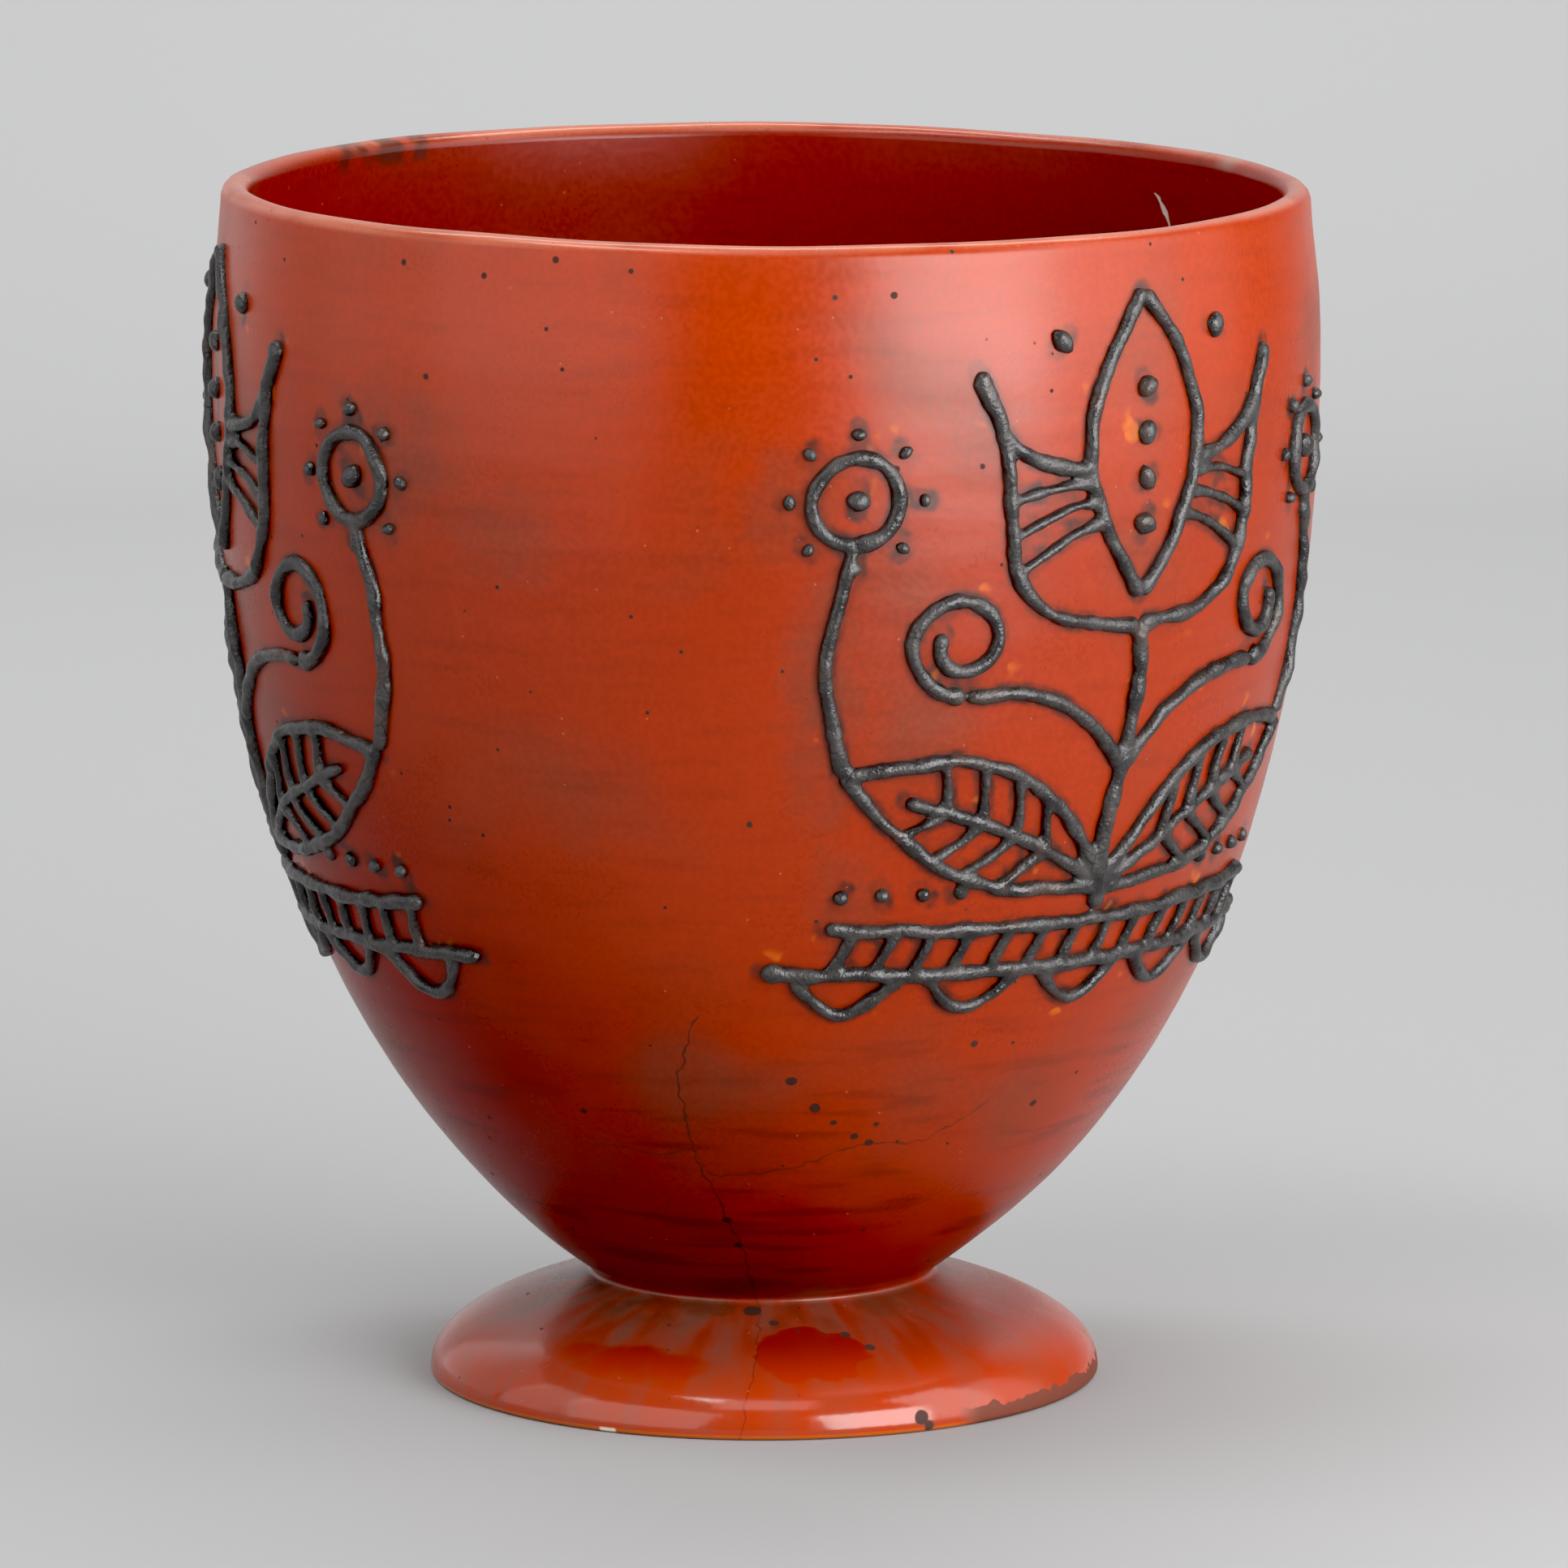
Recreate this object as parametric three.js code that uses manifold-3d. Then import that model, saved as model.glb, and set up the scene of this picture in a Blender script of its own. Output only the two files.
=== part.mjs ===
// A deep thrown terracotta bowl on a low domed foot, with flowering plants trailed
// on its wall in thick raised slip. Millimetres, +Z up. The origin is on the bowl's
// axis, on the surface that the foot stands on.
import * as THREE from 'three';
import { mergeVertices } from 'three/addons/utils/BufferGeometryUtils.js';
import Module from 'manifold-3d';

// Outside of the wall, from the crease above the foot up to the rim
const HEIGHT = 241;
const CREASE_RADIUS = 33.7;
const CREASE_HEIGHT = 21.1;
const CREASE_RISE_DEG = 34.2;
const CREASE_REACH = 66.3;
const BELLY_RADIUS = 110.2;
const BELLY_HEIGHT = 207.8;
const BELLY_REACH = 81.7;
const RIM_RADIUS = 108.1;
const RIM_LEAN_DEG = 4;
const LIP_THICKNESS = 5.5;

// How thick the clay is, at the belly and above the foot, and the floor inside
const WALL_THICKNESS = 6;
const BASE_THICKNESS = 9;
const FLOOR_HEIGHT = 27;
const FLOOR_BEND = 6;

// The foot: a dome outside, a shallow hollow beneath, a flat ring where it stands
const FOOT_RADIUS = 67.2;
const FOOT_TOP_FALL_DEG = 25.7;
const FOOT_TOP_REACH = 8;
const FOOT_EDGE_HEIGHT = 1;
const FOOT_SIDE_REACH = 12.3;
const RING_OUTER_RADIUS = 65.6;
const RING_INNER_RADIUS = 58;
const FOOT_HOLLOW_HEIGHT = 14;
const FOOT_HOLLOW_RADIUS = 32;
const FOOT_HOLLOW_SHOULDER = 50;

// Facets round the axis, and rows of them along each stretch of the section
const ROUND_SEGMENTS = 44;
const FLOOR_ROWS = 2;
const WALL_ROWS = 8;
const LIP_ROWS = 4;
const FOOT_ROWS = 5;
const HOLLOW_ROWS = 3;

// The raised slip: a bead squeezed from a nozzle, as a ridge with its root sunk in
// the wall, and dots
const BEAD_FOOT = 4.8;
const BEAD_HEIGHT = 1.8;
const BEAD_ROOT = 0.9;
const DOT_RADIUS = 2.5;
const DOT_HEIGHT = 3.8;
const DOT_SIDES = 5;

// Three plants stand round the wall. Inside a plant, u runs sideways along the wall
// and v runs up from the plant's base.
const PLANT_COUNT = 3;
const FIRST_PLANT_DEG = 41.5;
const PLANT_BASE_HEIGHT = 92;
const GROUND_WIDTH = 136;
const GROUND_HEIGHT = 6;
const GROUND_SAG = 2;
const GROUND_GAP = 9;
const GROUND_INSET = 10;
const SCALLOP_COUNT = 5;
const SCALLOP_DEPTH = 8;
const SCALLOP_GAP = 2;
const SCALLOP_TUCK = 1;
const STEM_HEIGHT = 72;
const STEM_SWAY = 1.2;
const LEAF_ROOT_HEIGHT = 20;
const LEAF_ROOT_GAP = 1.2;
const LEAF_TIP = [60, 46];
const LEAF_UPPER_BOW = 13;
const LEAF_LOWER_BOW = 9;
const MIDRIB_TIP = [46.8, 40.5];
const MIDRIB_BOW = 2;
const CURL_STEM_HEIGHT = 44;
const CURL_STEM_BOW = 6;
const CURL_STEM_INSET = 2;
const CURL_SPREAD = 40;
const CURL_RADIUS = 11;
const CURL_START_DEG = -100;
const CURL_TURNS = 1.35;
const CURL_WIND_IN = 0.62;
const ROSETTE_SPREAD = 62;
const ROSETTE_HEIGHT = 100;
const ROSETTE_RADIUS = 8.5;
const ROSETTE_START_DEG = 60;
const ROSETTE_TURNS = 1.02;
const ROSETTE_STEM_BOW = 5;
const PETAL_TIP = [38, 124];
const PETAL_BOW = 14;
const PETAL_SWAY = 5;
const PETAL_END_BOW = 6;
const HEART_SIDE = [14, 104];
const HEART_ROOT_HEIGHT = 78;
const HEART_TIP_HEIGHT = 138;
const HEART_BOW = 14;
const SEED_COUNT = 4;
const SEED_GAP = 9;
const FIRST_SEED_HEIGHT = 92;
const CROWN_DOT = [20, 129];

// How long a facet of a curved stroke is, about
const STEP_LENGTH = 18;
const STRAIGHT_STEP_LENGTH = 24;
const CURL_STEP_LENGTH = 6.8;
const SMALL_BOW_STEP_LENGTH = 13;

// How often the search for a height on the wall halves its span, and how near two
// corners are when they are one
const HALVINGS = 24;
const MERGE_DISTANCE = 1e-4;

const radians = THREE.MathUtils.degToRad;
const lip = LIP_THICKNESS / 2;
const CREASE = new THREE.Vector2(CREASE_RADIUS, CREASE_HEIGHT);
const BELLY = new THREE.Vector2(BELLY_RADIUS, BELLY_HEIGHT);

// The outside wall as two curves that meet, upright, at the belly. x is the radius
// and y is the height.
const lowerWall = new THREE.CubicBezierCurve(
  CREASE,
  new THREE.Vector2(
    CREASE_RADIUS + CREASE_REACH * Math.cos(radians(CREASE_RISE_DEG)),
    CREASE_HEIGHT + CREASE_REACH * Math.sin(radians(CREASE_RISE_DEG)),
  ),
  new THREE.Vector2(BELLY_RADIUS, BELLY_HEIGHT - BELLY_REACH),
  BELLY,
);

// From the belly up to the lip
const rimRun = (HEIGHT - lip - BELLY_HEIGHT) / 2;
const upperWall = new THREE.CubicBezierCurve(
  BELLY,
  new THREE.Vector2(BELLY_RADIUS, BELLY_HEIGHT + rimRun),
  new THREE.Vector2(RIM_RADIUS + rimRun * Math.tan(radians(RIM_LEAN_DEG)), HEIGHT - lip - rimRun),
  new THREE.Vector2(RIM_RADIUS, HEIGHT - lip),
);

// The foot's top, from the crease down to its edge
const footTop = new THREE.CubicBezierCurve(
  CREASE,
  new THREE.Vector2(
    CREASE_RADIUS + FOOT_TOP_REACH * Math.cos(radians(FOOT_TOP_FALL_DEG)),
    CREASE_HEIGHT - FOOT_TOP_REACH * Math.sin(radians(FOOT_TOP_FALL_DEG)),
  ),
  new THREE.Vector2(FOOT_RADIUS, FOOT_EDGE_HEIGHT + FOOT_SIDE_REACH),
  new THREE.Vector2(FOOT_RADIUS, FOOT_EDGE_HEIGHT),
);

// The outside wall's radius at a height, and how far its outward normal tips down
function wallAt(height) {
  const curve = height < BELLY_HEIGHT ? lowerWall : upperWall;
  let below = 0;
  let above = 1;
  for (let i = 0; i < HALVINGS; i++) {
    const middle = (below + above) / 2;
    if (curve.getPoint(middle).y < height) {
      below = middle;
    } else {
      above = middle;
    }
  }
  const slope = curve.getTangent(below);
  return { radius: curve.getPoint(below).x, out: slope.y, down: slope.x };
}

// The section of the whole bowl, from the middle of its floor inside, over the rim,
// down the outside, round the foot and back to the axis under it
function bowlSection() {
  const inside = [];
  for (let i = 0; i <= WALL_ROWS; i++) {
    const share = i / WALL_ROWS;
    const slope = lowerWall.getTangentAt(share);
    const thickness = BASE_THICKNESS + (WALL_THICKNESS - BASE_THICKNESS) * share;
    const inwards = new THREE.Vector2(-slope.y, slope.x).multiplyScalar(thickness);
    inside.push(lowerWall.getPointAt(share).add(inwards));
  }
  const floor = new THREE.QuadraticBezierCurve(
    new THREE.Vector2(0, FLOOR_HEIGHT),
    new THREE.Vector2(inside[0].x - FLOOR_BEND, FLOOR_HEIGHT),
    inside[0],
  );
  const points = [...floor.getPoints(FLOOR_ROWS), ...inside.slice(1)];

  const rim = new THREE.Path();
  rim.absarc(RIM_RADIUS - lip, HEIGHT - lip, lip, Math.PI, 0, true);
  points.push(...rim.getSpacedPoints(LIP_ROWS));

  points.push(BELLY);
  points.push(...lowerWall.getSpacedPoints(WALL_ROWS).reverse().slice(1));

  points.push(...footTop.getSpacedPoints(FOOT_ROWS).slice(1));
  points.push(new THREE.Vector2(RING_OUTER_RADIUS, 0));
  points.push(new THREE.Vector2(RING_INNER_RADIUS, 0));

  const hollow = new THREE.QuadraticBezierCurve(
    new THREE.Vector2(RING_INNER_RADIUS, 0),
    new THREE.Vector2(FOOT_HOLLOW_SHOULDER, FOOT_HOLLOW_HEIGHT),
    new THREE.Vector2(FOOT_HOLLOW_RADIUS, FOOT_HOLLOW_HEIGHT),
  );
  points.push(...hollow.getSpacedPoints(HOLLOW_ROWS).slice(1));
  points.push(new THREE.Vector2(0, FOOT_HOLLOW_HEIGHT));
  return points;
}

// A stroke of slip that follows the wall. path turns 0..1 into [u, v].
class WallStroke extends THREE.Curve {
  constructor(path, plantDeg) {
    super();
    this.path = path;
    this.plantDeg = plantDeg;
  }

  wallFrame(t) {
    const [u, v] = this.path(t);
    const height = PLANT_BASE_HEIGHT + v;
    const wall = wallAt(height);
    const turn = radians(this.plantDeg) + u / wall.radius;
    const away = new THREE.Vector3(Math.sin(turn), -Math.cos(turn), 0);
    const point = away.clone().multiplyScalar(wall.radius).setZ(height);
    const normal = away.multiplyScalar(wall.out).setZ(-wall.down);
    return { point, normal };
  }

  getPoint(t) {
    return this.wallFrame(t).point;
  }

  // Keeps the bead's flat root in the wall all the way along
  computeFrenetFrames(steps) {
    const frames = { tangents: [], normals: [], binormals: [] };
    for (let i = 0; i <= steps; i++) {
      const tangent = this.getTangentAt(i / steps);
      const { normal } = this.wallFrame(this.getUtoTmapping(i / steps));
      frames.tangents.push(tangent);
      frames.normals.push(normal);
      frames.binormals.push(tangent.clone().cross(normal).normalize());
    }
    return frames;
  }
}

// A path from one place to another that bows to its left by bow, with a sway like
// an S added
function bowed([u0, v0], [u1, v1], bow = 0, sway = 0) {
  const length = Math.hypot(u1 - u0, v1 - v0);
  const left = [-(v1 - v0) / length, (u1 - u0) / length];
  return (t) => {
    const aside = bow * Math.sin(Math.PI * t) + sway * Math.sin(2 * Math.PI * t);
    return [u0 + (u1 - u0) * t + left[0] * aside, v0 + (v1 - v0) * t + left[1] * aside];
  };
}

// A path that winds inwards round a centre, or goes round it once with no winding
function wound([u, v], radius, startDeg, turns, windIn = 0) {
  return (t) => {
    const angle = radians(startDeg) + turns * 2 * Math.PI * t;
    const r = radius * (1 - windIn * t);
    return [u + r * Math.cos(angle), v + r * Math.sin(angle)];
  };
}

const mirrored = (path) => (t) => {
  const [u, v] = path(t);
  return [-u, v];
};

// The two ground lines and the scallops that hang below them
function groundStrokes() {
  const end = GROUND_WIDTH / 2;
  const upperEnd = end - GROUND_INSET;
  const upper = GROUND_HEIGHT + GROUND_GAP;
  const strokes = [
    { path: bowed([-end, GROUND_HEIGHT], [end, GROUND_HEIGHT], -GROUND_SAG) },
    { path: bowed([-upperEnd, upper], [upperEnd, upper], -GROUND_SAG) },
  ];
  const width = (GROUND_WIDTH - GROUND_INSET) / SCALLOP_COUNT;
  const reach = width / 2 - SCALLOP_GAP;
  for (let i = 0; i < SCALLOP_COUNT; i++) {
    const middle = (i - (SCALLOP_COUNT - 1) / 2) * width;
    const hem = GROUND_HEIGHT - SCALLOP_TUCK;
    const path = bowed([middle - reach, hem], [middle + reach, hem], -SCALLOP_DEPTH);
    strokes.push({ path, step: SMALL_BOW_STEP_LENGTH });
  }
  return strokes;
}

// A plant's right half: leaf, curl, rosette and the half flower
function halfPlantStrokes() {
  const curlStart = [CURL_SPREAD - CURL_STEM_INSET, STEM_HEIGHT - CURL_RADIUS];
  const curlMiddle = [CURL_SPREAD, STEM_HEIGHT];
  const curl = wound(curlMiddle, CURL_RADIUS, CURL_START_DEG, CURL_TURNS, CURL_WIND_IN);
  const rosette = [ROSETTE_SPREAD, ROSETTE_HEIGHT];
  const rosetteFoot = [ROSETTE_SPREAD, ROSETTE_HEIGHT - ROSETTE_RADIUS];
  const petal = bowed([0, STEM_HEIGHT], PETAL_TIP, -PETAL_BOW, -PETAL_SWAY);
  const heart = bowed([0, HEART_ROOT_HEIGHT], [0, HEART_TIP_HEIGHT], -HEART_BOW);
  return [
    { path: bowed([0, LEAF_ROOT_HEIGHT + LEAF_ROOT_GAP], LEAF_TIP, LEAF_UPPER_BOW) },
    { path: bowed([0, LEAF_ROOT_HEIGHT - LEAF_ROOT_GAP], LEAF_TIP, -LEAF_LOWER_BOW) },
    { path: bowed([0, LEAF_ROOT_HEIGHT], MIDRIB_TIP, MIDRIB_BOW), step: STRAIGHT_STEP_LENGTH },
    { path: bowed([0, CURL_STEM_HEIGHT], curlStart, CURL_STEM_BOW) },
    { path: curl, step: CURL_STEP_LENGTH },
    { path: bowed(LEAF_TIP, rosetteFoot, -ROSETTE_STEM_BOW) },
    { path: wound(rosette, ROSETTE_RADIUS, ROSETTE_START_DEG, ROSETTE_TURNS), step: CURL_STEP_LENGTH },
    { path: petal, step: SMALL_BOW_STEP_LENGTH },
    { path: bowed(PETAL_TIP, HEART_SIDE, PETAL_END_BOW) },
    { path: heart },
  ];
}

function plantStrokes() {
  const stemFoot = [0, GROUND_HEIGHT + GROUND_GAP];
  const stem = bowed(stemFoot, [0, STEM_HEIGHT], 0, STEM_SWAY);
  const halves = halfPlantStrokes().flatMap(
    ({ path, step }) => [{ path, step }, { path: mirrored(path), step }],
  );
  return [...groundStrokes(), { path: stem }, ...halves];
}

function plantDots() {
  const dots = [];
  for (let i = 0; i < SEED_COUNT; i++) {
    dots.push([0, FIRST_SEED_HEIGHT + SEED_GAP * i]);
  }
  for (const side of [-1, 1]) {
    dots.push([side * ROSETTE_SPREAD, ROSETTE_HEIGHT]);
    dots.push([side * CROWN_DOT[0], CROWN_DOT[1]]);
  }
  return dots;
}

const wasm = await Module();
wasm.setup();

// A closed geometry as a solid, with its shared corners merged
function solidOf(geometry) {
  const bare = geometry.index ? geometry.toNonIndexed() : geometry.clone();
  bare.deleteAttribute('normal');
  bare.deleteAttribute('uv');
  const merged = mergeVertices(bare, MERGE_DISTANCE);
  const corners = merged.index.array;
  const triVerts = [];
  for (let i = 0; i < corners.length; i += 3) {
    const [a, b, c] = corners.slice(i, i + 3);
    if (a !== b && b !== c && c !== a) {
      triVerts.push(a, b, c);
    }
  }
  const vertProperties = new Float32Array(merged.attributes.position.array);
  return new wasm.Manifold(
    new wasm.Mesh({ numProp: 3, vertProperties, triVerts: new Uint32Array(triVerts) }),
  );
}

// A solid's faces as a geometry
function geometryOf(solid) {
  const mesh = solid.getMesh();
  const geometry = new THREE.BufferGeometry();
  geometry.setAttribute('position', new THREE.BufferAttribute(mesh.vertProperties, 3));
  geometry.setIndex(new THREE.BufferAttribute(mesh.triVerts, 1));
  geometry.computeVertexNormals();
  return geometry;
}

// The bead's section: x is out from the wall and y is across the stroke
const beadSection = new THREE.Shape([
  new THREE.Vector2(-BEAD_ROOT, -0.5 * BEAD_FOOT),
  new THREE.Vector2(BEAD_HEIGHT, 0),
  new THREE.Vector2(-BEAD_ROOT, 0.5 * BEAD_FOOT),
]);

function beadSolid({ path, step = STEP_LENGTH }, plantDeg) {
  const curve = new WallStroke(path, plantDeg);
  const steps = Math.max(2, Math.round(curve.getLength() / step));
  return solidOf(new THREE.ExtrudeGeometry(beadSection, { steps, extrudePath: curve }));
}

function dotSolid([u, v], plantDeg) {
  const { point, normal } = new WallStroke(() => [u, v], plantDeg).wallFrame(0);
  const dot = new THREE.ConeGeometry(DOT_RADIUS, DOT_HEIGHT, DOT_SIDES);
  const upright = new THREE.Vector3(0, 1, 0);
  dot.applyQuaternion(new THREE.Quaternion().setFromUnitVectors(upright, normal));
  dot.translate(point.x, point.y, point.z);
  return solidOf(dot);
}

function footedBowl() {
  const turned = new THREE.LatheGeometry(bowlSection().reverse(), ROUND_SEGMENTS);
  turned.rotateX(Math.PI / 2);
  let bowl = solidOf(turned);
  for (let i = 0; i < PLANT_COUNT; i++) {
    const plantDeg = FIRST_PLANT_DEG + (360 / PLANT_COUNT) * i;
    for (const stroke of plantStrokes()) {
      bowl = bowl.add(beadSolid(stroke, plantDeg));
    }
    for (const place of plantDots()) {
      bowl = bowl.add(dotSolid(place, plantDeg));
    }
  }
  return geometryOf(bowl);
}

const glaze = new THREE.MeshStandardMaterial({ color: 0xb83414, roughness: 0.32, metalness: 0 });
const bowl = new THREE.Mesh(footedBowl(), glaze);
bowl.name = 'footed_bowl';

const model = new THREE.Group();
model.add(bowl);
export default model;
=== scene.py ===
import math

import bpy
import numpy as np
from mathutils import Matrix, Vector, kdtree, noise


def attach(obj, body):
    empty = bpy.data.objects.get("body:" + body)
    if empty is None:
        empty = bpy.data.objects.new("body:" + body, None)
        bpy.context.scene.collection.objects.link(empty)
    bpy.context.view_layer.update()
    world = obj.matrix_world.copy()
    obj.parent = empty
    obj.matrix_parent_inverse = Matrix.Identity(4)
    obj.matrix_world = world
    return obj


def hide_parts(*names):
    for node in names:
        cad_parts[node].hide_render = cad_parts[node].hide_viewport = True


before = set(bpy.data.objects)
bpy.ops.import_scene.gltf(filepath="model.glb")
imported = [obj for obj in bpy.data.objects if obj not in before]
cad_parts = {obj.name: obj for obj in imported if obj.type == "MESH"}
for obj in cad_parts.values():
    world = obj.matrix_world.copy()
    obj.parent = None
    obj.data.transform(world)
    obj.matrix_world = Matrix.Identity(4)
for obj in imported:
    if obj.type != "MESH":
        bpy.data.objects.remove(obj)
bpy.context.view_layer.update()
mm = 0.001

# The camera looks a little down on the bowl from the front through a long lens, far
# enough back that the sides of the bowl are hardly narrowed.
frame_px = 1932
focal_px = 13902
bowl_axis_px = 944
camera_distance = 2253 * mm
camera_pitch = math.radians(9.64)
aim_height = 119.0 * mm
sensor_width = 36.0
black_level = 0.015

camera_data = bpy.data.cameras.new("camera")
camera_data.sensor_width = sensor_width
camera_data.lens = focal_px / frame_px * sensor_width
camera_data.clip_end = 20
camera = bpy.data.objects.new("camera", camera_data)
camera.location = (
    (frame_px / 2 - bowl_axis_px) / focal_px * camera_distance,
    -camera_distance * math.cos(camera_pitch),
    aim_height + camera_distance * math.sin(camera_pitch),
)
camera.rotation_euler = (math.pi / 2 - camera_pitch, 0, 0)
bpy.context.scene.collection.objects.link(camera)
bpy.context.scene.camera = camera

# The darkest tones are held a little under, as in the photograph.
view = bpy.context.scene.view_settings
view.view_transform = "Standard"
view.use_curve_mapping = True
view.curve_mapping.black_level = (black_level, black_level, black_level)
view.curve_mapping.update()


# The bowl is thrown in red earthenware, with the foot thrown apart and luted on, so
# both are one piece. It is hollow, glazed orange-red inside and out, and its foot is
# hollow underneath and bare where it stands.
bowl_height = 241 * mm
crease_radius = 33.7 * mm
crease_height = 21.1 * mm
crease_rise = math.radians(34.2)
crease_reach = 66.3 * mm
crease_fillet = 1.7 * mm
belly_radius = 110.2 * mm
belly_height = 207.8 * mm
belly_reach = 81.7 * mm
rim_radius = 108.1 * mm
rim_lean = math.radians(4)
lip_thickness = 5.5 * mm
wall_thickness = 6 * mm
base_thickness = 9 * mm
floor_height = 27 * mm
floor_bend = 6 * mm
foot_radius = 67.2 * mm
foot_top_fall = math.radians(25.7)
foot_top_reach = 8 * mm
foot_edge_height = 1 * mm
foot_side_reach = 12.3 * mm
ring_outer_radius = 65.6 * mm
ring_inner_radius = 58 * mm
foot_hollow_height = 14 * mm
foot_hollow_radius = 32 * mm
foot_hollow_shoulder = 50 * mm
turning_steps = 512
inside_steps = 34
rim_slope_steps = 3
wall_steps = 112
foot_steps = 20
hollow_steps = 8


def bezier(points, count):
    """Points along a curve with two, three or four control points."""
    t = np.linspace(0, 1, count)[:, None]
    points = np.array(points, float)
    while len(points) > 1:
        points = [a + (b - a) * t for a, b in zip(points[:-1], points[1:])]
    return points[0]


def evenly(line, count):
    """The same line of points again, evenly spaced."""
    line = np.array(line)
    run = np.concatenate([[0], np.cumsum(np.hypot(*np.diff(line, axis=0).T))])
    place = np.linspace(0, run[-1], count)
    return np.stack([np.interp(place, run, line[:, k]) for k in (0, 1)], axis=1)


lip = lip_thickness / 2
crease = np.array([crease_radius, crease_height])
rise = np.array([math.cos(crease_rise), math.sin(crease_rise)])
rim_run = (bowl_height - lip - belly_height) / 2
lower_wall = bezier([
    crease,
    crease + crease_reach * rise,
    (belly_radius, belly_height - belly_reach),
    (belly_radius, belly_height),
], 400)
upper_wall = bezier([
    (belly_radius, belly_height),
    (belly_radius, belly_height + rim_run),
    (rim_radius + rim_run * math.tan(rim_lean), bowl_height - lip - rim_run),
    (rim_radius, bowl_height - lip),
], 60)
outer_wall = np.concatenate([lower_wall, upper_wall[1:]])
wall_slope = np.gradient(outer_wall, axis=0)
wall_slope /= np.hypot(*wall_slope.T)[:, None]


def bowl_section():
    """Radius and height from the middle of the floor inside, over the rim, down the
    outside, round the foot and back to the middle underneath, with the rows where the
    inside and the glaze end."""
    share = np.linspace(0, 1, len(lower_wall))[:, None]
    thickness = base_thickness + (wall_thickness - base_thickness) * share
    slope = wall_slope[: len(lower_wall)]
    inside = lower_wall + np.stack([-slope[:, 1], slope[:, 0]], axis=1) * thickness
    floor = bezier([(0, floor_height), (inside[0, 0] - floor_bend, floor_height), inside[0]], 30)
    rim_top = bezier([inside[-1], (rim_radius - lip_thickness, bowl_height - lip)], 12)
    turn = np.linspace(math.pi, 0, 24)[:, None]
    rim = (rim_radius - lip, bowl_height - lip) + lip * np.concatenate([np.cos(turn), np.sin(turn)], 1)

    fall = np.array([math.cos(foot_top_fall), -math.sin(foot_top_fall)])
    foot_edge = np.array([foot_radius, foot_edge_height])
    foot_side = foot_edge + (0, foot_side_reach)
    dome = bezier([crease, crease + foot_top_reach * fall, foot_side, foot_edge], 200)
    wall_end = crease + crease_fillet * 1.5 * rise
    dome_start = crease + crease_fillet * fall
    fillet = bezier([wall_end, crease, dome_start], 6)
    edge = bezier([(foot_radius, foot_edge_height), (foot_radius, 0), (ring_outer_radius, 0)], 6)
    hollow = bezier([
        (ring_inner_radius, 0),
        (foot_hollow_shoulder, foot_hollow_height),
        (foot_hollow_radius, foot_hollow_height),
    ], 20)

    wall_down = outer_wall[outer_wall[:, 1] > wall_end[1]][::-1]
    stretches = [
        evenly(np.concatenate([floor, inside[1:]]), inside_steps),
        evenly(rim_top, rim_slope_steps)[1:],
        rim[1::3],
        evenly(wall_down, wall_steps)[1:],
        fillet,
        evenly(dome[dome[:, 0] > dome_start[0] + 0.5 * mm], foot_steps),
        edge[1:],
        [(ring_inner_radius, 0)],
        evenly(hollow, hollow_steps)[1:],
        [(0, foot_hollow_height)],
    ]
    inside_rows = len(stretches[0]) + len(stretches[1]) + 3
    glazed_rows = sum(len(stretch) for stretch in stretches[:7]) - 2
    return np.concatenate(stretches), inside_rows, glazed_rows


out_of_round = 0.16 * mm
finger_depth = 0.022 * mm
fine_finger_pitch = 1.35 * mm
broad_finger_pitch = 3.1 * mm
smooth_middle_radius = 50 * mm
rim_tilt = 0.66 * mm

# Waves round the rim, each by how many there are, where they start and their depth.
rim_waves = [(3, 0.8, 0.14 * mm), (7, 2, 0.12 * mm), (17, 1, 0.05 * mm)]

# Shifts to the left, each by its height, how far up and down it reaches and its size.
shifts_aside = [(0, 30 * mm, 0.4 * mm), (27 * mm, 10 * mm, 0.7 * mm), (125 * mm, 25 * mm, 0.4 * mm)]


def thrown(points):
    """Moves points of the true turned form to the uneven one that hands leave: a rim
    that drops to one side, a wall out of round, faint ridges from the fingers, and a
    foot that isn't quite under the middle of the bowl."""
    points = np.array(points, float)
    x, y, z = points.T
    share = np.clip(z / bowl_height, 0, 1)
    around = np.arctan2(x, -y)
    radius = np.maximum(np.hypot(x, y), mm)
    squash = out_of_round * share * (np.cos(2 * around + 0.6) - 1)
    fine_ridges = np.sin(z / fine_finger_pitch + around)
    broad_ridges = np.sin(z / broad_finger_pitch - around)
    fingers = finger_depth * (fine_ridges + broad_ridges - 2)
    swell = 1 + (squash + fingers * np.clip(radius / smooth_middle_radius, 0, 1)) / radius
    tilt = rim_tilt * (x / rim_radius + 1)
    waves = sum(depth * (1 + np.sin(count * around + start)) for count, start, depth in rim_waves)
    drop = (tilt + waves) * share**4
    aside = sum(size * np.exp(-(((z - middle) / spread) ** 2)) for middle, spread, size in shifts_aside)
    return np.stack([x * swell - aside, y * swell, z - drop], axis=1)


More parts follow.
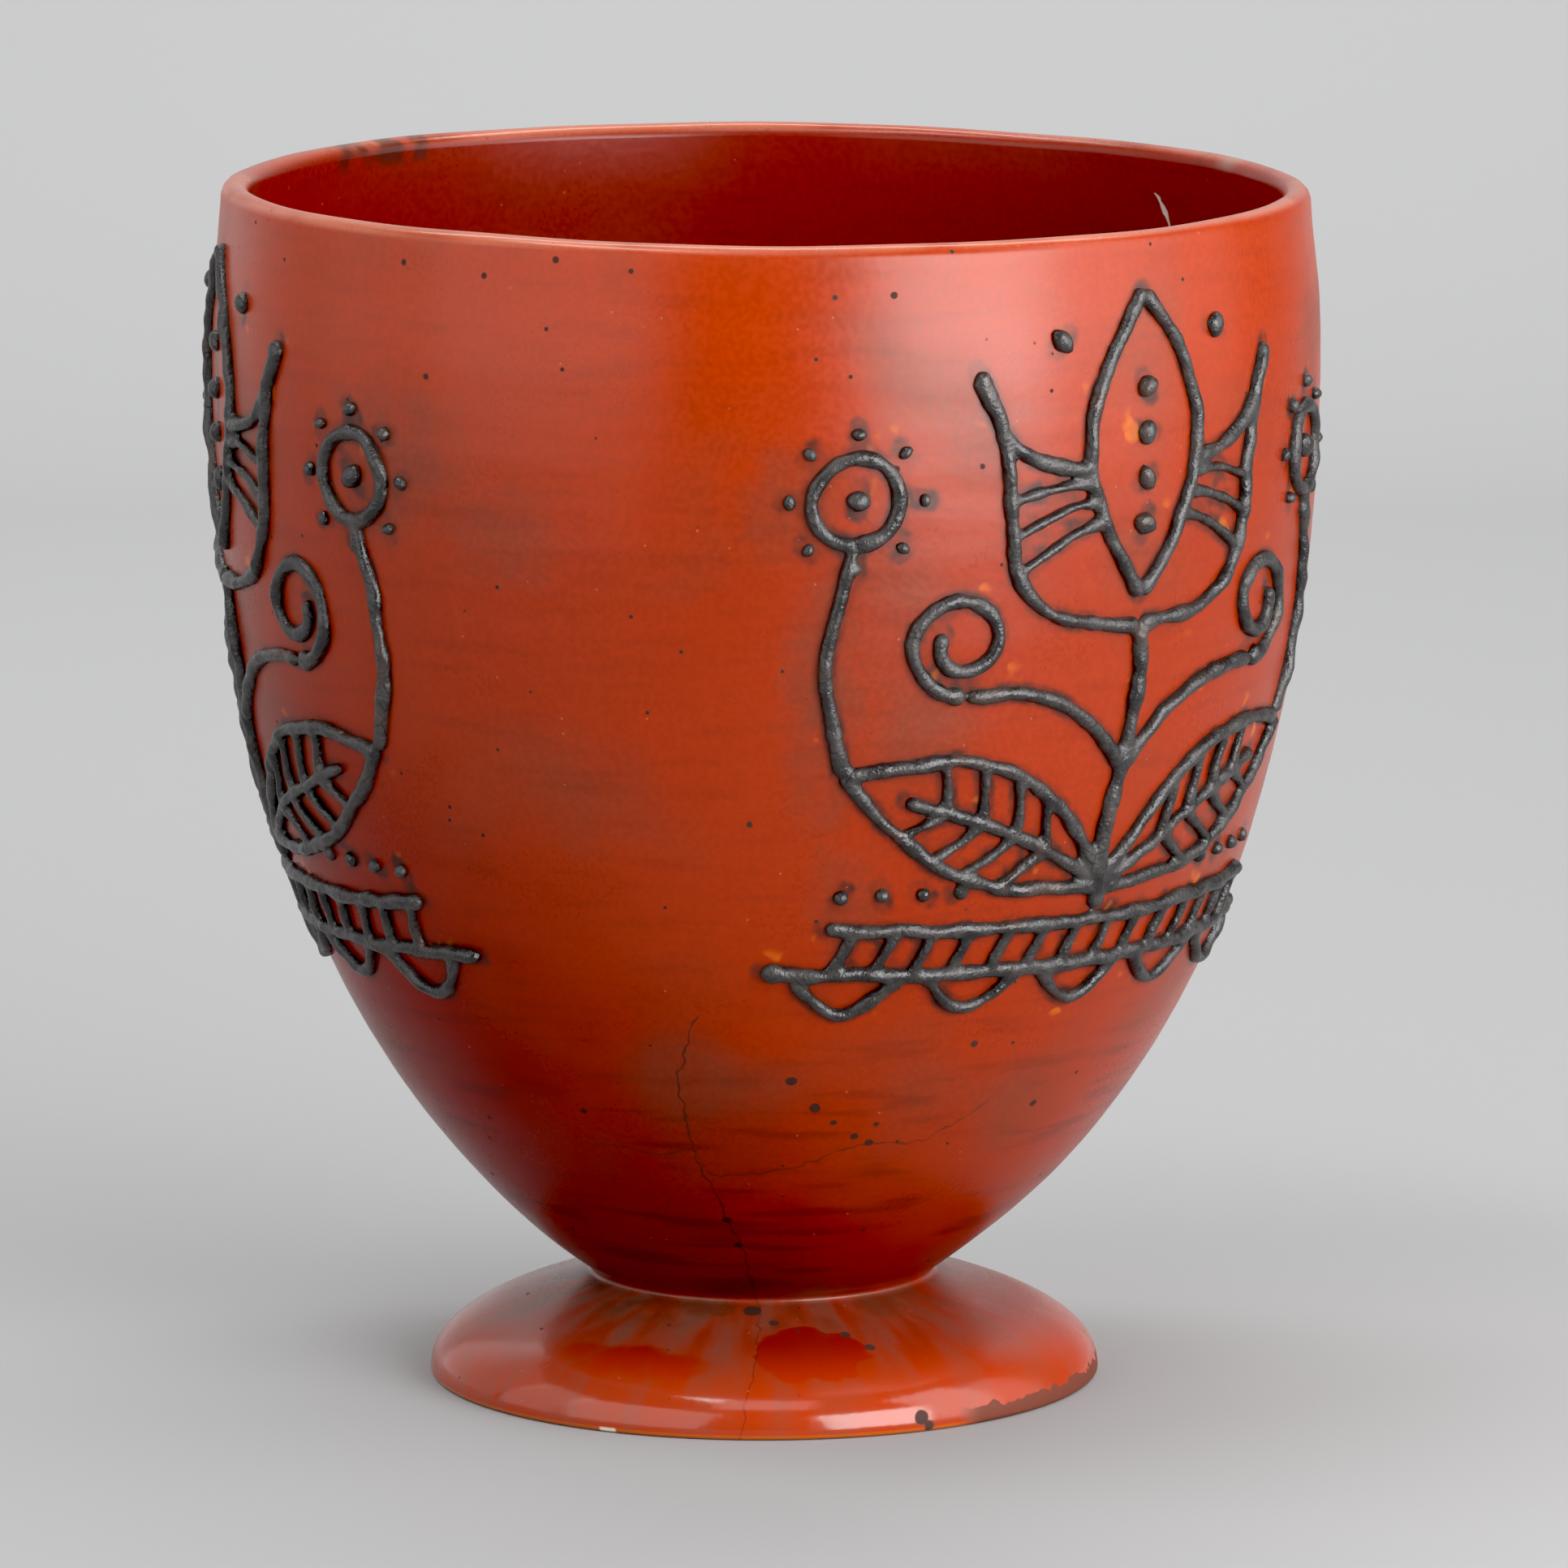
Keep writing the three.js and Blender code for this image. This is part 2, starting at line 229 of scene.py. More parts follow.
def turned_mesh(name, section):
    """A closed mesh turned from a section that starts and ends on the axis. Its points
    follow the section's rows, and the two on the axis come last."""
    rows = section[1:-1]
    turn = np.arange(turning_steps) * 2 * math.pi / turning_steps
    ring = np.stack([np.sin(turn), -np.cos(turn)], axis=1)
    body = rows[:, None, :1] * ring[None]
    heights = np.broadcast_to(rows[:, None, 1:], (*body.shape[:2], 1))
    points = np.concatenate([body, heights], axis=2).reshape(-1, 3)
    ends = [(0, 0, section[0, 1]), (0, 0, section[-1, 1])]
    points = thrown(np.concatenate([points, ends]))
    here = np.arange(turning_steps)
    after = (here + 1) % turning_steps
    faces = []
    for row in range(len(rows) - 1):
        low = row * turning_steps
        high = low + turning_steps
        quads = np.stack([here + low, after + low, after + high, here + high], axis=1)
        faces += quads.tolist()
    first, last = len(points) - 2, len(points) - 1
    low = (len(rows) - 1) * turning_steps
    faces += [(first, int(b), int(a)) for a, b in zip(here, after)]
    faces += [(last, int(a) + low, int(b) + low) for a, b in zip(here, after)]
    mesh = bpy.data.meshes.new(name)
    mesh.from_pydata(points.tolist(), [], faces)
    mesh.polygons.foreach_set("use_smooth", [True] * len(faces))
    mesh.update()
    return mesh


def mark_rows(mesh, name, marks):
    """Gives each point of a turned mesh its row's mark, for its material to read."""
    values = np.concatenate([np.repeat(marks[1:-1], turning_steps), [marks[0], marks[-1]]])
    mesh.attributes.new(name, "FLOAT", "POINT").data.foreach_set("value", values)


section, inside_rows, glazed_rows = bowl_section()
bowl_mesh = turned_mesh("footed_bowl_glazed", section)
row_numbers = np.arange(len(section))
rows_across_the_rim = 3
mark_rows(bowl_mesh, "inside", np.clip((inside_rows - row_numbers) / rows_across_the_rim, 0, 1))
mark_rows(bowl_mesh, "bare", (row_numbers >= glazed_rows).astype(float))
bowl = bpy.data.objects.new("footed_bowl_glazed", bowl_mesh)
bpy.context.scene.collection.objects.link(bowl)
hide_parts("footed_bowl")
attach(bowl, "root")


class Finish:
    """A finish as a material, and a short way to add nodes to it. Its place, x, y and
    height are those of the point in the bowl's own frame, in metres."""

    def __init__(self, name):
        self.material = bpy.data.materials.new(name)
        self.material.use_nodes = True
        self.nodes = self.material.node_tree.nodes
        self.links = self.material.node_tree.links
        self.shader = self.nodes["Principled BSDF"]
        self.place = self.nodes.new("ShaderNodeTexCoord").outputs["Object"]
        parts = self.nodes.new("ShaderNodeSeparateXYZ")
        self.links.new(self.place, parts.inputs[0])
        self.x, self.y, self.height = parts.outputs

    def plug(self, value, socket):
        """Feeds a socket from another one, or sets it to a number or colour."""
        if isinstance(value, bpy.types.NodeSocket):
            self.links.new(value, socket)
        else:
            socket.default_value = value

    def math(self, operation, a, b=0.0, c=0.0):
        """One sum on up to three values."""
        node = self.nodes.new("ShaderNodeMath")
        node.operation = operation
        for value, socket in zip((a, b, c), node.inputs):
            self.plug(value, socket)
        return node.outputs[0]

    def product(self, *values):
        """All the values multiplied together."""
        result = values[0]
        for value in values[1:]:
            result = self.math("MULTIPLY", result, value)
        return result

    def ramp(self, value, low, high, to_low=0.0, to_high=1.0):
        """Eases value from to_low to to_high while it goes from low to high."""
        node = self.nodes.new("ShaderNodeMapRange")
        node.interpolation_type = "SMOOTHSTEP"
        for name, given in (("Value", value), ("From Min", low), ("From Max", high),
                            ("To Min", to_low), ("To Max", to_high)):
            self.plug(given, node.inputs[name])
        return node.outputs["Result"]

    def mix(self, share, a, b, blend="MIX"):
        """Colour a with this share of colour b over it."""
        node = self.nodes.new("ShaderNodeMix")
        node.data_type = "RGBA"
        node.blend_type = blend
        self.plug(share, node.inputs[0])
        self.plug(a, node.inputs[6])
        self.plug(b, node.inputs[7])
        return node.outputs[2]

    def noise(self, size, detail=3.0, place=None):
        """Clouds whose lumps are about size metres across."""
        node = self.nodes.new("ShaderNodeTexNoise")
        node.inputs["Scale"].default_value = 1 / size
        node.inputs["Detail"].default_value = detail
        node.inputs["Roughness"].default_value = 0.55
        self.links.new(place or self.place, node.inputs["Vector"])
        return node.outputs[0]

    def scattered(self, spacing, *kinds):
        """Round specks, at most one in each cell of this spacing. Each kind has a radius
        and the shares of the cells, from and up to, that it takes."""
        node = self.nodes.new("ShaderNodeTexVoronoi")
        node.inputs["Scale"].default_value = 1 / spacing
        self.links.new(self.place, node.inputs["Vector"])
        split = self.nodes.new("ShaderNodeSeparateColor")
        self.links.new(node.outputs["Color"], split.inputs[0])
        found = []
        for radius, start, end in kinds:
            chosen = self.math("COMPARE", split.outputs[0], (start + end) / 2, (end - start) / 2)
            core = self.ramp(node.outputs["Distance"], 0.5 * radius / spacing, radius / spacing, 1, 0)
            found.append(self.product(core, chosen))
        return found

    def moved(self, offset, stretch=(1, 1, 1)):
        """The place shifted and stretched, so that the same noise gives other clouds."""
        node = self.nodes.new("ShaderNodeMapping")
        node.inputs["Location"].default_value = offset
        node.inputs["Scale"].default_value = stretch
        self.links.new(self.place, node.inputs["Vector"])
        return node.outputs[0]

    def near(self, spot):
        """The distance from a point."""
        node = self.nodes.new("ShaderNodeVectorMath")
        node.operation = "DISTANCE"
        self.links.new(self.place, node.inputs[0])
        node.inputs[1].default_value = spot
        return node.outputs["Value"]

    def mark(self, name):
        """A mark that the mesh's points carry."""
        node = self.nodes.new("ShaderNodeAttribute")
        node.attribute_name = name
        return node.outputs["Fac"]

    def curve(self, value, points):
        """The height of a line through points at value, both in the points' own units,
        and a mark that is one where value lies within the line's ends."""
        points = np.array(sorted(points), float)
        low, high = points.min(axis=0), points.max(axis=0)
        node = self.nodes.new("ShaderNodeFloatCurve")
        line = node.mapping.curves[0]
        scaled = (points - low) / (high - low)
        line.points[0].location = scaled[0]
        line.points[1].location = scaled[-1]
        for spot in scaled[1:-1]:
            line.points.new(*spot)
        node.mapping.update()
        steps = self.math("DIVIDE", self.math("SUBTRACT", value, low[0]), high[0] - low[0])
        self.plug(steps, node.inputs["Value"])
        found = self.math("MULTIPLY_ADD", node.outputs[0], high[1] - low[1], low[1])
        inside = self.math("COMPARE", steps, 0.5, 0.5)
        return found, inside

    def bump(self, relief, depth):
        """Presses relief, where 1 is this deep, into the surface's shading."""
        node = self.nodes.new("ShaderNodeBump")
        node.inputs["Distance"].default_value = depth
        self.plug(relief, node.inputs["Height"])
        self.links.new(node.outputs[0], self.shader.inputs["Normal"])


# The glaze is a satin to glossy orange-red, clear and deep low down and inside, with
# painted shade darkening it further low down and on the left, smoky clouds, pinholes
# burnt through it, and fine cracks round the narrow waist. A pinkish film lies on the foot,
# broken by glossy patches, and a burnt band at its edge.
ripe_red = (0.255, 0.0205, 0.0003, 1)
top_red = (0.315, 0.027, 0.0006, 1)
deep_and_shaded_red = (0.16, 0.0035, 0.0, 1)
inside_red = (0.22, 0.011, 0.0, 1)
smoke_and_shade_brown = (0.11, 0.034, 0.018, 1)
film_pink = (0.27, 0.062, 0.036, 1)
film_grey = (0.17, 0.075, 0.052, 1)
patch_red = (0.2, 0.011, 0.0002, 1)
patch_orange = (0.36, 0.03, 0.0006, 1)
crest_highlight_and_dust_pink = (0.5, 0.17, 0.1, 1)
edge_orange = (0.5, 0.12, 0.006, 1)
burnt_brown = (0.13, 0.026, 0.01, 1)
pit_black = (0.022, 0.012, 0.009, 1)
stain_and_shadow_black = (0.035, 0.012, 0.008, 1)
scratch_pale = (0.62, 0.55, 0.5, 1)
ash_grey = (0.3, 0.2, 0.16, 1)
chip_pale = (0.75, 0.62, 0.52, 1)
bare_clay = (0.36, 0.13, 0.06, 1)
amber = (0.55, 0.13, 0.006, 1)
degree = math.radians(1)
cloud_size = 30 * mm
smoke_size = 36 * mm
smear_size = 26 * mm
smear_flatness = 9
patch_edge_size = 7.5 * mm
wander_size = 3 * mm
grain_size = 1.1 * mm
cloud_drift = 40 * mm
shaded_side_climb = 0.8

glaze = Finish("red_glaze")
turn = glaze.math("ARCTAN2", glaze.x, glaze.math("MULTIPLY", glaze.y, -1))
x_squared = glaze.math("POWER", glaze.x, 2)
y_squared = glaze.math("POWER", glaze.y, 2)
reach = glaze.math("SQRT", glaze.math("ADD", x_squared, y_squared))
inside = glaze.mark("inside")
outside = glaze.math("SUBTRACT", 1, inside)
clouds = glaze.noise(cloud_size, 2)
grain = glaze.noise(grain_size, 0)
wander = glaze.noise(wander_size, 1)
patchy = glaze.noise(patch_edge_size, 2)
smears = glaze.noise(smear_size, 1, glaze.moved((0.3, 0.1, 0), (1, 1, smear_flatness)))

# Painted shade: the glaze is darker towards the bottom, partly deeper glaze and partly
# painted shade, and on the shaded left side the painted shade climbs higher.
lowered_height = glaze.math("SUBTRACT", glaze.height, cloud_drift / 2)
cloudy_height = glaze.math("MULTIPLY_ADD", clouds, cloud_drift, lowered_height)
level = glaze.math("MULTIPLY_ADD", glaze.x, shaded_side_climb, cloudy_height)
colour = glaze.mix(glaze.ramp(level, 15 * mm, 100 * mm), deep_and_shaded_red, ripe_red)
colour = glaze.mix(glaze.ramp(cloudy_height, 170 * mm, 238 * mm), colour, top_red)
colour = glaze.mix(inside, colour, inside_red)

# Smoke from the kiln lies in soft clouds: scattered ones, and those of the front, each by
# its turn and height, half its width and height, and its strength.
smoke = glaze.ramp(glaze.noise(smoke_size, 1, glaze.moved((0.11, 0.52, 0.34))), 0.5, 0.76, 0, 0.5)
ragged = glaze.math("MULTIPLY_ADD", patchy, 1.6, -0.8)


def oval(across, along, half_across, half_along, core):
    """One inside a ragged oval, from its core outwards fading to nothing at its edge."""
    across = glaze.math("DIVIDE", across, half_across)
    along = glaze.math("DIVIDE", along, half_along)
    away = glaze.math("ADD", glaze.math("POWER", across, 2), glaze.math("POWER", along, 2))
    return glaze.ramp(glaze.math("ADD", away, ragged), core, 1.0, 1, 0)


front_smoke = [
    (-41, 196, 13, 21, 0.5), (-27, 183, 9, 13, 0.34), (2, 190, 8, 15, 0.42), (6, 152, 6, 34, 0.55),
    (9, 112, 6, 16, 0.35),
]
for cloud_turn, cloud_height, half_turn, half_height, strength in front_smoke:
    across = glaze.math("SUBTRACT", turn, cloud_turn * degree)
    along = glaze.math("SUBTRACT", glaze.height, cloud_height * mm)
    here = oval(across, along, half_turn * degree, half_height * mm, -0.4)
    smoke = glaze.math("MAXIMUM", glaze.product(here, strength), smoke)
smoke = glaze.product(smoke, glaze.ramp(wander, 0.35, 0.65, 0.88, 1.06), glaze.ramp(inside, 0, 1, 1, 0.12))
colour = glaze.mix(smoke, colour, smoke_and_shade_brown)
colour = glaze.mix(1, colour, glaze.ramp(grain, 0.3, 0.7, 0.95, 1.05), "MULTIPLY")

# Flat brown smears run round the wall, most of all low down.
low_share = glaze.ramp(glaze.height, 40 * mm, 110 * mm, 1, 0.25)
smear_depth = glaze.product(low_share, glaze.ramp(smears, 0.5, 0.72, 0, 0.34))
smear_shade = glaze.math("SUBTRACT", 1, smear_depth)
colour = glaze.mix(1, colour, smear_shade, "MULTIPLY")

# The crest of the rim, where the glaze ran thin, is pink partly from the thin glaze and
# partly from a painted highlight, with smudges on its far side.
crest = glaze.ramp(glaze.height, 238.2 * mm, 239.6 * mm)
colour = glaze.mix(glaze.product(crest, glaze.ramp(clouds, 0.36, 0.6, 0.15, 0.62)), colour, crest_highlight_and_dust_pink)
smudge_ground = glaze.ramp(patchy, 0.36, 0.56, 0, 0.72)
smudge_fade_turn = 4
smudge_fade_height = 3

# Each smudge by the turns between which it lies, its lowest height and its colour.
rim_smudges = [
    (-142, -120, 234, stain_and_shadow_black), (-99, -94, 226, smoke_and_shade_brown), (112, 119, 236, ash_grey),
    (118, 123, 235, stain_and_shadow_black),
]
for smudge_start, smudge_end, smudge_low, smudge_colour in rim_smudges:
    here = glaze.product(
        glaze.ramp(turn, smudge_start * degree, (smudge_start + smudge_fade_turn) * degree),
        glaze.ramp(turn, (smudge_end - smudge_fade_turn) * degree, smudge_end * degree, 1, 0),
        glaze.ramp(glaze.height, smudge_low * mm, (smudge_low + smudge_fade_height) * mm),
        smudge_ground,
    )
    colour = glaze.mix(here, colour, smudge_colour)

# The foot, between the crease and the ground. The film is thick on its left and by the
# crease, thin towards its front right edge, and drawn out in streaks.
streak_size = 9 * mm
streak_radius = 62 * mm
streak_shortening = 0.4
on_foot = glaze.product(glaze.ramp(glaze.height, 20.6 * mm, 21.8 * mm, 1, 0), outside)
foot_ground = glaze.mix(glaze.ramp(reach, 48 * mm, 66 * mm), patch_red, patch_orange)
colour = glaze.mix(on_foot, colour, foot_ground)
polar = glaze.nodes.new("ShaderNodeCombineXYZ")
glaze.plug(glaze.product(turn, streak_radius), polar.inputs[0])
glaze.plug(glaze.product(reach, streak_shortening), polar.inputs[1])
streaks = glaze.noise(streak_size, 2, polar.outputs[0])
film = glaze.product(
    glaze.ramp(turn, -60 * degree, 75 * degree, 1, 0.5),
    glaze.ramp(reach, 44 * mm, 66 * mm, 1, 0.5),
    glaze.ramp(streaks, 0.3, 0.6, 0.45, 1),
)

# The film is missing in glossy patches, each by its turn and its distance from the axis,
# half its width and depth, and how sharp its edge is.
glossy_patches = [
    (-27, 57.5, 20, 5.5, 0.1), (9, 52.5, 13, 9, 0.75), (70, 49, 5, 5, 0.5), (78, 61.5, 11, 6.5, 0.8),
    (160, 52, 22, 7, 0.5),
]
glossy = 0.0
for patch_turn, patch_reach, half_turn, half_reach, core in glossy_patches:
    across = glaze.math("SUBTRACT", turn, patch_turn * degree)
    along = glaze.math("SUBTRACT", reach, patch_reach * mm)
    here = oval(across, along, half_turn * degree, half_reach * mm, core)
    glossy = glaze.math("MAXIMUM", here, glossy)
glossy = glaze.product(glossy, on_foot)
film = glaze.product(film, on_foot, glaze.ramp(glossy, 0, 1, 0.85, 0.08))
colour = glaze.mix(film, colour, glaze.mix(glaze.ramp(streaks, 0.42, 0.66), film_pink, film_grey))
# Soot and painted shade darken the foot near the crease.
crease_soot_and_shade = glaze.product(
    on_foot,
    glaze.ramp(reach, 36 * mm, 52 * mm, 1, 0),
    glaze.ramp(patchy, 0.42, 0.64, 0, 0.7),
)
colour = glaze.mix(crease_soot_and_shade, colour, smoke_and_shade_brown)

# A burnt band lies along the foot's edge at the front right, and the rest of the edge is
# thin and orange.
band_top = glaze.math("MULTIPLY_ADD", wander, 4 * mm, 1.6 * mm)
burnt = glaze.product(
    on_foot,
    glaze.ramp(turn, 33 * degree, 40 * degree),
    glaze.ramp(turn, 84 * degree, 96 * degree, 1, 0),
    glaze.math("LESS_THAN", glaze.height, band_top),
)
colour = glaze.mix(burnt, colour, burnt_brown)
edge = glaze.product(glaze.ramp(glaze.height, 0.7 * mm, 1.3 * mm, 1, 0),
                     glaze.math("SUBTRACT", 1, burnt), outside)
colour = glaze.mix(glaze.product(edge, 0.6), colour, edge_orange)

# Dark edges round the slip, partly stain where it drew the glaze dark beside it and partly
# painted shadow, and the amber blisters it left.
slip_near = glaze.mark("slip_near")
stain_and_shadow_halo = glaze.product(glaze.ramp(slip_near, 1.5 * mm, 2.9 * mm, 0.9, 0),
                     glaze.ramp(patchy, 0.4, 0.6, 0.3, 1), glaze.ramp(wander, 0.35, 0.6, 0.6, 1))
colour = glaze.mix(stain_and_shadow_halo, colour, stain_and_shadow_black)
blister = glaze.product(glaze.ramp(slip_near, 3 * mm, 6 * mm, 1, 0),
                        glaze.ramp(patchy, 0.66, 0.76, 0, 0.5))
colour = glaze.mix(blister, colour, amber)

# Cracks: one runs down to the foot, by height and turn, and one goes round the waist, by
# turn and height. Both waver a little to each side.
crack_down = [
    (88.8, -8.5), (78.9, -11), (72.7, -12), (66, -11.6), (58.6, -11.3), (50.9, -9.4), (42.8, -7.6),
    (35.9, -5.6), (24, -3.6), (15.6, -2), (9, -3.2), (0, -4.6),
]
crack_round = [
    (-28, 59.5), (-17, 57.6), (-11.3, 58.4), (-9, 53.2), (0, 53.8), (8, 56.4), (15.5, 59.8),
    (23, 59.6), (29, 62.9), (34, 67.5),
]
crack_waver = 1.2 * mm
strayed = glaze.math("MULTIPLY_ADD", wander, 2 * crack_waver, -crack_waver)
crack_turn, crack_span = glaze.curve(glaze.height, [(z * mm, a * degree) for z, a in crack_down])
aside = glaze.math("MULTIPLY", glaze.math("SUBTRACT", turn, crack_turn), reach)
aside = glaze.math("ADD", aside, strayed)
front = glaze.math("LESS_THAN", glaze.y, 0)
line_down = glaze.product(glaze.ramp(glaze.math("ABSOLUTE", aside), 0.1 * mm, 0.3 * mm, 1, 0),
                          crack_span, front, outside)
round_height, round_span = glaze.curve(turn, [(a * degree, z * mm) for a, z in crack_round])
above = glaze.math("ADD", strayed, glaze.math("SUBTRACT", glaze.height, round_height))
line_round = glaze.product(glaze.ramp(glaze.math("ABSOLUTE", above), 0.1 * mm, 0.27 * mm, 1, 0),
                           round_span, outside, 0.8)
cracks = glaze.math("MAXIMUM", line_down, line_round)
crack_depth = glaze.ramp(glaze.height, 20 * mm, 34 * mm, 0.35, 0.75)
colour = glaze.mix(glaze.product(cracks, crack_depth), colour, stain_and_shadow_black)

# A pale scratch inside, on the far right.
scratch_line = [(219, 126.4), (225, 127.6), (230, 129.6)]
scratch_ragged = 2 * mm
scratch_turn, scratch_span = glaze.curve(glaze.height, [(z * mm, a * degree) for z, a in scratch_line])
aside = glaze.math("MULTIPLY", glaze.math("SUBTRACT", turn, scratch_turn), reach)
aside = glaze.math("SUBTRACT", glaze.math("ABSOLUTE", aside), 1.1 * mm)
aside = glaze.math("MULTIPLY_ADD", wander, scratch_ragged, aside)
scratch = glaze.product(glaze.ramp(aside, 0.2 * mm, 0.7 * mm, 0.85, 0), scratch_span, inside)
colour = glaze.mix(scratch, colour, scratch_pale)

# Pits and pinholes: the large ones by their turn, height and radius, then scattered ones.
wall_pits = [
    (-39.5, 234.5, 0.5), (-29.5, 233.2, 0.6), (-21.5, 237.2, 0.7), (-13.5, 235.8, 0.5), (-36, 213.1, 0.6),
    (7, 231.4, 0.4), (13, 231.4, 0.7), (13, 198, 0.8), (22, 198, 0.5), (-1.5, 128.5, 0.6),
    (3.5, 74.5, 1.1), (7, 68.5, 1.1), (10, 65.1, 0.7), (13.5, 61.8, 0.7), (16, 60.2, 0.8), (16.5, 64.3, 0.6),
    (-27.5, 66, 0.6), (43.5, 65.1, 0.8), (28.5, 80.6, 0.7), (-7.4, 42.3, 0.9), (-5.5, 36, 0.8),
]
foot_spots = [
    (-3.2, 19.6, 1.7), (3, 18.2, 0.9), (20, 16.4, 1.0), (23.5, 14.6, 1.0), (27.5, 3, 1.4), (29, 1.2, 1.0),
]
pit_ragged = 0.9 * mm
nearest = 1.0
on_dome = (section[:, 0] > crease_radius) & (section[:, 1] < crease_height) & (row_numbers < glazed_rows)
dome_line = section[on_dome]
for spots, line in ((wall_pits, outer_wall), (foot_spots, dome_line[::-1])):
    for spot_turn, spot_height, spot_radius in spots:
        radius_there = np.interp(spot_height * mm, line[:, 1], line[:, 0])
        spot = thrown([[
            radius_there * math.sin(spot_turn * degree),
            -radius_there * math.cos(spot_turn * degree),
            spot_height * mm,
        ]])[0]
        gap = glaze.math("SUBTRACT", glaze.near(spot), spot_radius * mm)
        nearest = glaze.math("MINIMUM", gap, nearest)
nearest = glaze.math("MULTIPLY_ADD", glaze.math("SUBTRACT", wander, 0.5), pit_ragged, nearest)
speck_spacing = 3.2 * mm
pinhole_kind = (0.55 * mm, 0, 0.06)
fine_speck_kind = (0.24 * mm, 0.06, 0.5)
dust_kind = (0.3 * mm, 0.86, 1)
pinholes, fine_specks, dust = glaze.scattered(speck_spacing, pinhole_kind, fine_speck_kind, dust_kind)
placed_pits = glaze.ramp(nearest, -0.1 * mm, 0.25 * mm, 0.92, 0)
pits = glaze.math("MAXIMUM", placed_pits, glaze.product(pinholes, outside))
colour = glaze.mix(glaze.product(fine_specks, 0.5), colour, stain_and_shadow_black)
colour = glaze.mix(glaze.product(dust, 0.4), colour, crest_highlight_and_dust_pink)
colour = glaze.mix(pits, colour, pit_black)

# A chip on the foot's edge, at the front left, shows pale.
chip_turn = -27.5 * degree
chip_spot = (foot_radius * math.sin(chip_turn), -foot_radius * math.cos(chip_turn), 0.6 * mm)
chip = glaze.product(glaze.ramp(glaze.near(chip_spot), 1.4 * mm, 2.1 * mm, 1, 0), edge)
colour = glaze.mix(chip, colour, chip_pale)

# Bare clay shows under the foot.
bare = glaze.mark("bare")
toasted_clay = glaze.mix(glaze.ramp(clouds, 0.3, 0.7, 0, 0.4), bare_clay, burnt_brown)
colour = glaze.mix(bare, colour, toasted_clay)
glaze.plug(colour, glaze.shader.inputs["Base Color"])

# The glaze is glossiest low down, on the crest and on the foot's patches and shoulder,
# and dull where it is burnt, pitted or missing.
burnt_roughness = 0.7
pit_roughness = 0.8
clay_roughness = 0.9
gloss = glaze.ramp(grain, 0.3, 0.7, 0.285, 0.315)
gloss = glaze.math("MULTIPLY_ADD", glaze.math("SUBTRACT", clouds, 0.5), 0.16, gloss)
gloss = glaze.math("ADD", gloss, glaze.ramp(level, 20 * mm, 60 * mm, -0.06, 0))
gloss = glaze.math("ADD", gloss, glaze.product(smoke, 0.1))
on_shoulder = glaze.product(on_foot, glaze.ramp(reach, 50 * mm, 60 * mm, 0, 0.12))
gloss = glaze.math("ADD", gloss, glaze.product(on_foot, glaze.ramp(glossy, 0, 1, 0.02, -0.1)))
gloss = glaze.math("SUBTRACT", gloss, glaze.math("ADD", on_shoulder, glaze.product(crest, 0.07)))
for rough_share, roughness in ((burnt, burnt_roughness), (pits, pit_roughness), (bare, clay_roughness)):
    gloss = glaze.math("MULTIPLY_ADD", rough_share, glaze.math("SUBTRACT", roughness, gloss), gloss)
glaze.plug(gloss, glaze.shader.inputs["Roughness"])
foot_shine = 0.5
shine = glaze.ramp(level, 20 * mm, 115 * mm, 0.12, 0.4)
shine = glaze.math("MAXIMUM", shine, glaze.product(on_foot, foot_shine))
glaze.plug(shine, glaze.shader.inputs["Specular IOR Level"])

# Its surface has a fine peel and broad low swells, and the bare clay is coarse.
peel_size = 1.5 * mm
swell_size = 9 * mm
glaze_relief = 0.25 * mm
peel = glaze.math("MULTIPLY", glaze.noise(peel_size, 0), glaze.math("MULTIPLY_ADD", bare, 1.2, 0.07))
relief = glaze.math("MULTIPLY_ADD", glaze.noise(swell_size, 0), 0.22, peel)
glaze.bump(relief, glaze_relief)
bowl_mesh.materials.append(glaze.material)


# Three flowering plants are trailed on the wall in thick charcoal slip, squeezed from
# a nozzle, so every line is a raised bead. The lines melt together where they cross.
bead_width = 3.0 * mm
bead_height = 1.8 * mm
bead_root = 0.8 * mm
plant_count = 3
first_plant = math.radians(41.5)
plant_base_height = 92 * mm
ground_width = 136 * mm
ground_height = 6 * mm
ground_gap = 9 * mm
ground_sag = 2 * mm
ground_inset = 10 * mm
rung_count = 14
rung_step_mm = 8.2
rung_lean = 1.5 * mm
scallop_count = 5
scallop_depth = 8 * mm
scallop_gap = 2 * mm
stem_height = 72 * mm
leaf_root_height = 20 * mm
leaf_spread = 60 * mm
leaf_tip_height = 46 * mm
leaf_upper_bow = 13 * mm
leaf_lower_bow = 9 * mm
fine_line = 0.68
curl_spread = 40 * mm
curl_radius = 11 * mm
rosette_spread = 62 * mm
rosette_height = 100 * mm
rosette_radius = 8.5 * mm
flower_spread = 38 * mm
flower_height = 124 * mm
flower_tip_height = 138 * mm
flower_heart_bulge = 14 * mm
bead_step = 0.7 * mm
melt_grain = 0.52 * mm


def bowed(start, end, bow=0.0, sway=0.0):
    """A path from start to end that bows to its left, with a sway like an S added."""
    start, end = np.array(start), np.array(end)
    way = end - start
    left = np.array([-way[1], way[0]]) / np.hypot(*way)

    def path(t):
        aside = bow * np.sin(math.pi * t) + sway * np.sin(2 * math.pi * t)
        return start + way * t[:, None] + left * aside[:, None]

    return path


def wound(centre, radius, start_deg, turns, wind_in=0.0):
    """A path that winds inwards round a centre, or goes round it once."""

    def path(t):
        angle = math.radians(start_deg) + turns * 2 * math.pi * t
        reach = radius * (1 - wind_in * t)
        return np.array(centre) + np.stack([reach * np.cos(angle), reach * np.sin(angle)], axis=1)

    return path


def mirrored(path):
    """The same path on the plant's other side."""
    return lambda t: path(t) * (-1, 1)


